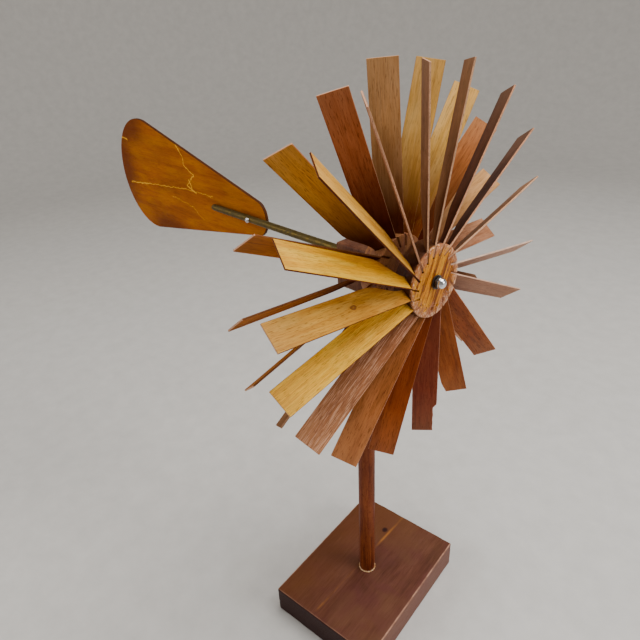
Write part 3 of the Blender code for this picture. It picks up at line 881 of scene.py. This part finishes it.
def worn_arris(look, place, corner):
    """1 along the top edges of the base, broken up where the stain is less worn."""
    inside = look.vector('SUBTRACT', corner, look.vector('ABSOLUTE', place))
    near = look.vector('DIVIDE', inside, (1.8 * MM, 1.8 * MM, 1.8 * MM))
    close = [look.math('SUBTRACT', 1.0, look.part(near, axis), clamp=True) for axis in "XYZ"]
    rub = look.ramp(look.noise(place, 70, 3, 0.6), [(0.35, 0.3), (0.6, 1.0)])
    sides = look.math('MAXIMUM', close[0], look.math('MULTIPLY', close[1], 0.3))
    top = look.math('MULTIPLY', sides, close[2])
    return look.math('MULTIPLY', look.math('MULTIPLY', top, 2.5, clamp=True), rub)


def base_figure(look, place, colour):
    """Stain amber on one side and purple-brown on the other, a dark knot, worn top arrises,
    painted light on the long flanks, and painted shade on the dark end grain of the ends.
    """
    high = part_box("base_block")[1]
    across = look.vector('DOT_PRODUCT', place, (-8.0, 1.0, 0), output="Value")
    patch = look.noise(place, 13, 3, 0.6)
    blot = look.noise(place, 24, 3, 0.6, 0.6)
    colour = look.mix(look.ramp(blot, [(0.4, 0.0), (0.62, 0.7)]), colour, srgb("#5a302a"))
    cloud = look.noise(place, 17, 2, 0.5, 0.4)
    colour = look.mix(look.ramp(cloud, [(0.5, 0.0), (0.68, 0.4)]), colour, srgb("#6a482c"))
    side = look.math('ADD', across, look.math('MULTIPLY', patch, 0.9))
    amber = look.ramp(side, [(0.35, 0.0), (0.85, 0.85)])
    colour = look.mix(amber, colour, look.mix(0.7, colour, srgb("#603616")))
    breaks = look.ramp(look.noise(place, 30, 2, 0.5), [(0.42, 0.1), (0.58, 0.75)])
    streak = look.line(place, *KNOT_STREAK, 2.2 * MM)
    colour = look.mix(look.math('MULTIPLY', streak, breaks), colour, srgb("#a4662a"))
    eye = look.blot(place, KNOT_AT, (4.4 * MM, 5 * MM, 12 * MM))
    colour = look.mix(look.ramp(eye, [(0.0, 0.0), (0.4, 0.8), (1.0, 0.95)]), colour,
                      srgb("#1c0a10"))
    colour = look.mix(worn_arris(look, place, high), colour, srgb("#b88a70"))
    away = look.vector('ABSOLUTE', place)
    skin = 0.6 * MM
    # painted light: the long flanks are made lighter
    painted_light_flank = look.math('GREATER_THAN', look.part(away, "X"), high.x - skin)
    colour = look.mix(look.math('MULTIPLY', painted_light_flank, 0.5), colour, srgb("#845a4c"))
    # painted shade on dark end grain: the ends are made near black
    end = look.math('GREATER_THAN', look.part(away, "Y"), high.y - skin)
    return look.mix(look.math('MULTIPLY', end, 0.88), colour, srgb("#20080a"))


def build_base(grain):
    """The plank block, its arrises worn unevenly, with the dowel's socket bored in it."""
    low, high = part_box("base_block")
    bm = bmesh.new()
    add_box(bm, low, high)
    bmesh.ops.bevel(bm, geom=bm.edges, offset=BASE_ROUND, segments=5, profile=0.55,
                    affect='EDGES')
    long_edges = [edge for edge in bm.edges if edge.calc_length() > 20 * MM]
    bmesh.ops.subdivide_edges(bm, edges=long_edges, cuts=40, use_grid_fill=True)
    middle = (low + high) / 2
    half = (high - low) / 2
    for vert in bm.verts:
        inward = middle - vert.co
        on_a_face = any(abs(abs(inward[axis]) - half[axis]) < 0.01 * MM for axis in range(3))
        if on_a_face:
            continue
        worn = noise.noise(vert.co * 90) + noise.noise(vert.co * 260) * 0.5
        step = Vector([math.copysign(1, inward[axis]) for axis in range(3)])
        vert.co += step * max(worn, 0) * 0.5 * MM
    base = add_piece("base_plank", mesh_from(bm, "base_plank"), Matrix.Identity(4), [grain])
    radius = POST_R + GAP
    top = high.z + 5 * MM
    socket = [(0, SOCKET_FLOOR_Z), (radius, SOCKET_FLOOR_Z), (radius, top), (0, top)]
    cut(base, lathe("socket", socket, 64, closed=False))
    base.data.set_sharp_from_angle(angle=math.radians(35))
    stand_in(base, "base_block", "stand")


def build_bead(look):
    """The ring of glue squeezed out round the dowel, wider in some places than others."""
    clear = 0.05 * MM
    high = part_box("base_block")[1]
    inner = POST_R + clear
    profile = [(inner, 0), (inner + BEAD_WIDTH, 0), (inner + BEAD_WIDTH * 0.9, BEAD_HEIGHT * 0.3),
               (inner + BEAD_WIDTH * 0.55, BEAD_HEIGHT * 0.72), (inner, BEAD_HEIGHT)]
    mesh = lathe("glue_ring", profile, 128)
    for vert in mesh.vertices:
        reach = math.hypot(vert.co.x, vert.co.y)
        swell = 1 + 0.5 * noise.noise(vert.co.normalized() * 3.1)
        grown = inner + (reach - inner) * swell
        vert.co.x *= grown / reach
        vert.co.y *= grown / reach
        vert.co.z *= swell
    bead = add_piece("glue_ring", mesh, Matrix.Translation((0, 0, high.z + clear)), [look])
    stand_in(bead, "foot_glue_bead", "stand")


# ---------------------------------------------------------------- studio

def build_studio():
    """A pale floor that curves up far away, a big soft light overhead and two weaker ones."""
    flat, rise, wall = 2.2, 1.0, 3.5
    curve = [(flat + rise * math.sin(math.radians(9 * k)),
              rise * (1 - math.cos(math.radians(9 * k)))) for k in range(11)]
    floor_mesh = lathe("floor", [(0, 0), (flat / 2, 0)] + curve + [(flat + rise, wall)], 96, False)
    floor = add_piece("floor", floor_mesh, Matrix.Identity(4), [floor_paint()])
    lights = {
        # name: (place, size, watts, aims at)
        "overhead": ((0.5, 0.3, 2.2), 1.6, 56, (0, 0, 0.3)),
        "right": ((1.9, 0.5, 1.1), 1.0, 21, (0, 0, 0.3)),
        "left": ((-1.5, -1.5, 1.3), 1.4, 22, (0, 0, 0.4)),
    }
    for name, (place, size, watts, aim) in lights.items():
        lamp = bpy.data.lights.new(name, 'AREA')
        lamp.shape = 'DISK'
        lamp.size = size
        lamp.energy = watts
        light = bpy.data.objects.new(name, lamp)
        bpy.context.scene.collection.objects.link(light)
        light.location = place
        light.rotation_euler = (Vector(aim) - Vector(place)).to_track_quat('-Z', 'Y').to_euler()
    world = bpy.data.worlds.new("studio")
    world.use_nodes = True
    background = world.node_tree.nodes["Background"]
    background.inputs["Color"].default_value = (1.0, 0.97, 0.93, 1.0)
    background.inputs["Strength"].default_value = 0.2
    bpy.context.scene.world = world


def build_camera():
    """A camera in front of the sculpture and to one side, looking down on it."""
    heading, down = math.radians(CAMERA_HEADING), math.radians(CAMERA_DOWN)
    ahead = Vector((math.cos(heading) * math.cos(down), math.sin(heading) * math.cos(down),
                    -math.sin(down)))
    lens = bpy.data.cameras.new("viewpoint")
    lens.lens = CAMERA_LENS
    lens.sensor_width = 36
    lens.clip_start = 0.01
    camera = bpy.data.objects.new("viewpoint", lens)
    bpy.context.scene.collection.objects.link(camera)
    upright = ahead.to_track_quat('-Z', 'Y').to_matrix().to_4x4()
    roll = Matrix.Rotation(math.radians(CAMERA_ROLL), 4, 'Z')
    camera.matrix_world = Matrix.Translation(CAMERA_AT) @ upright @ roll
    bpy.context.scene.camera = camera


# ---------------------------------------------------------------- everything

def paint_nodes(nodes, paints):
    """Gives the CAD nodes that stay in sight their materials and rounder edges."""
    for name, paint in paints.items():
        mesh = nodes[name].data
        mesh.materials.clear()
        mesh.materials.append(paint)
        bevel = nodes[name].modifiers.new("eased", 'BEVEL')
        bevel.width = NODE_ARRIS
        bevel.segments = 2
        bevel.limit_method = 'ANGLE'
        bevel.angle_limit = math.radians(50)


def main():
    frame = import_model()
    joints = {joint["name"]: joint for joint in frame["joints"]}
    axle = Vector(joints["front_rotor_spin"]["axis"])
    spin_at = {side: Vector(joints[f"{side}_rotor_spin"]["pos_m"]) for side in ROTORS}
    turned = Matrix.Rotation(math.atan2(axle.y, axle.x), 4, 'Z')
    head = Matrix.Translation((0, 0, spin_at["front"].z)) @ turned

    brass = metal("old_brass", "#625026", "#4c3f20", 0.42, 0.46, seed=4)
    steel = metal("screw_steel", "#c9c9cc", "#7d7a78", 0.24, 0.34, seed=5, scale=500)
    chrome = metal("bright_chrome", "#dfe1e6", "#8d8d93", 0.14, 0.28, seed=6, scale=420)
    tarnished = metal("tarnished_steel", "#5a5856", "#2c2a28", 0.3, 0.45, seed=7, scale=500)
    for side in ROTORS:
        spin = Matrix.Translation(spin_at[side] + axle * HUB_T / 2) @ turned
        build_slats(side, spin)
        build_hub(side, spin)
    build_vane(head)
    build_boom(head, brass)
    build_screw(head, steel)
    build_block(head, wood("block_grain", ("#3d2012", "#5a3220", "#764a30"), "block"))
    build_acorn_nut(head, chrome, tarnished)
    build_base(wood("base_grain", ("#442018", "#5e3626", "#6c4232"), "base", axis='Y',
                    coarse=0.6, pores=0.12, contrast=0.4, figure=base_figure))
    build_bead(glue("dried_glue"))
    paint_nodes(frame["nodes"], {
        "post": wood("post_grain", ("#481608", "#723218", "#8c4822"), "post", coarse=1.5,
                     pores=0.7, contrast=0.9),
        "pivot_pin": steel, "axle": steel, "nut_washer": tarnished,
        "lower_thrust_washer": brass, "upper_thrust_washer": brass, "pivot_sleeve": brass,
        "rear_spacer": brass, "middle_spacer": brass, "rear_sleeve": brass,
        "front_sleeve": brass})
    build_studio()
    build_camera()


main()
